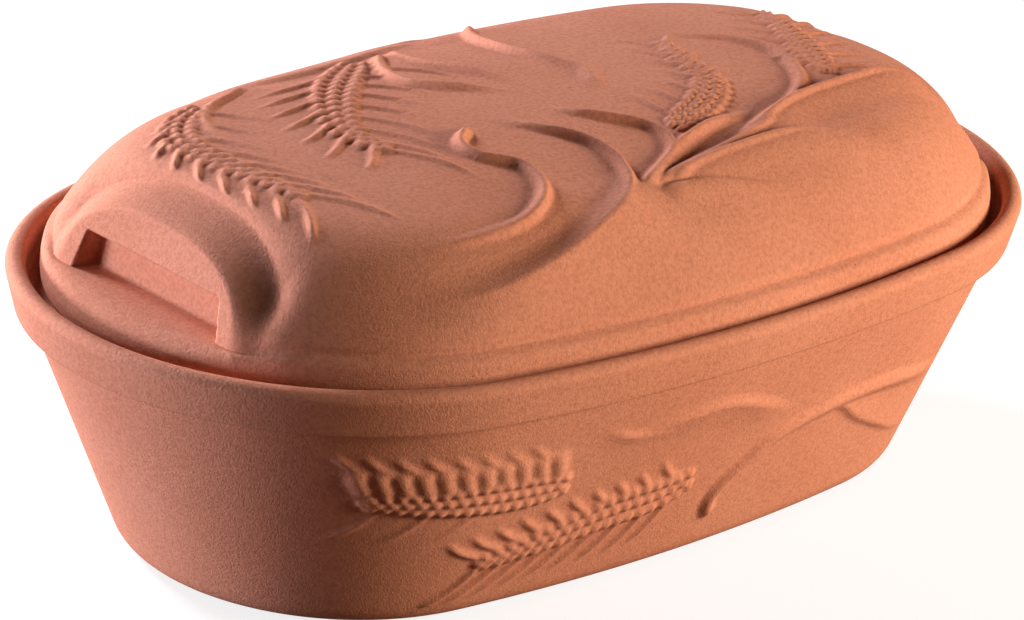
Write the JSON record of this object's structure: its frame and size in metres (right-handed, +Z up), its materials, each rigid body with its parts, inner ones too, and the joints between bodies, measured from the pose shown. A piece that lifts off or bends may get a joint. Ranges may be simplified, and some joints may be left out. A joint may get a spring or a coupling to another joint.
{
  "type": "clay pot roaster",
  "caption": "Oval unglazed clay roaster: a tapered pot with a collar and inner ledge, and a domed lid that drops inside the collar and lifts off by finger grips at its ends.",
  "frame": {"origin": "middle of the flat foot, on the surface that the roaster stands on", "axes": "+X along the length, +Y across the width, +Z up, the way the lid lifts off"},
  "size_m": [0.4, 0.244, 0.1485],
  "materials": {
    "terracotta_pot": "unglazed terracotta with a fine sandy grain",
    "terracotta_lid": "unglazed terracotta with a fine sandy grain"
  },
  "bodies": {
    "pot": {"pot": "terracotta_pot"},
    "lid": {"lid": "terracotta_lid"}
  },
  "joints": [
    {"name": "lid_lift", "type": "slide", "parent": "pot", "child": "lid", "axis": [0, 0, 1], "range_m": [0, 0.15]}
  ]
}
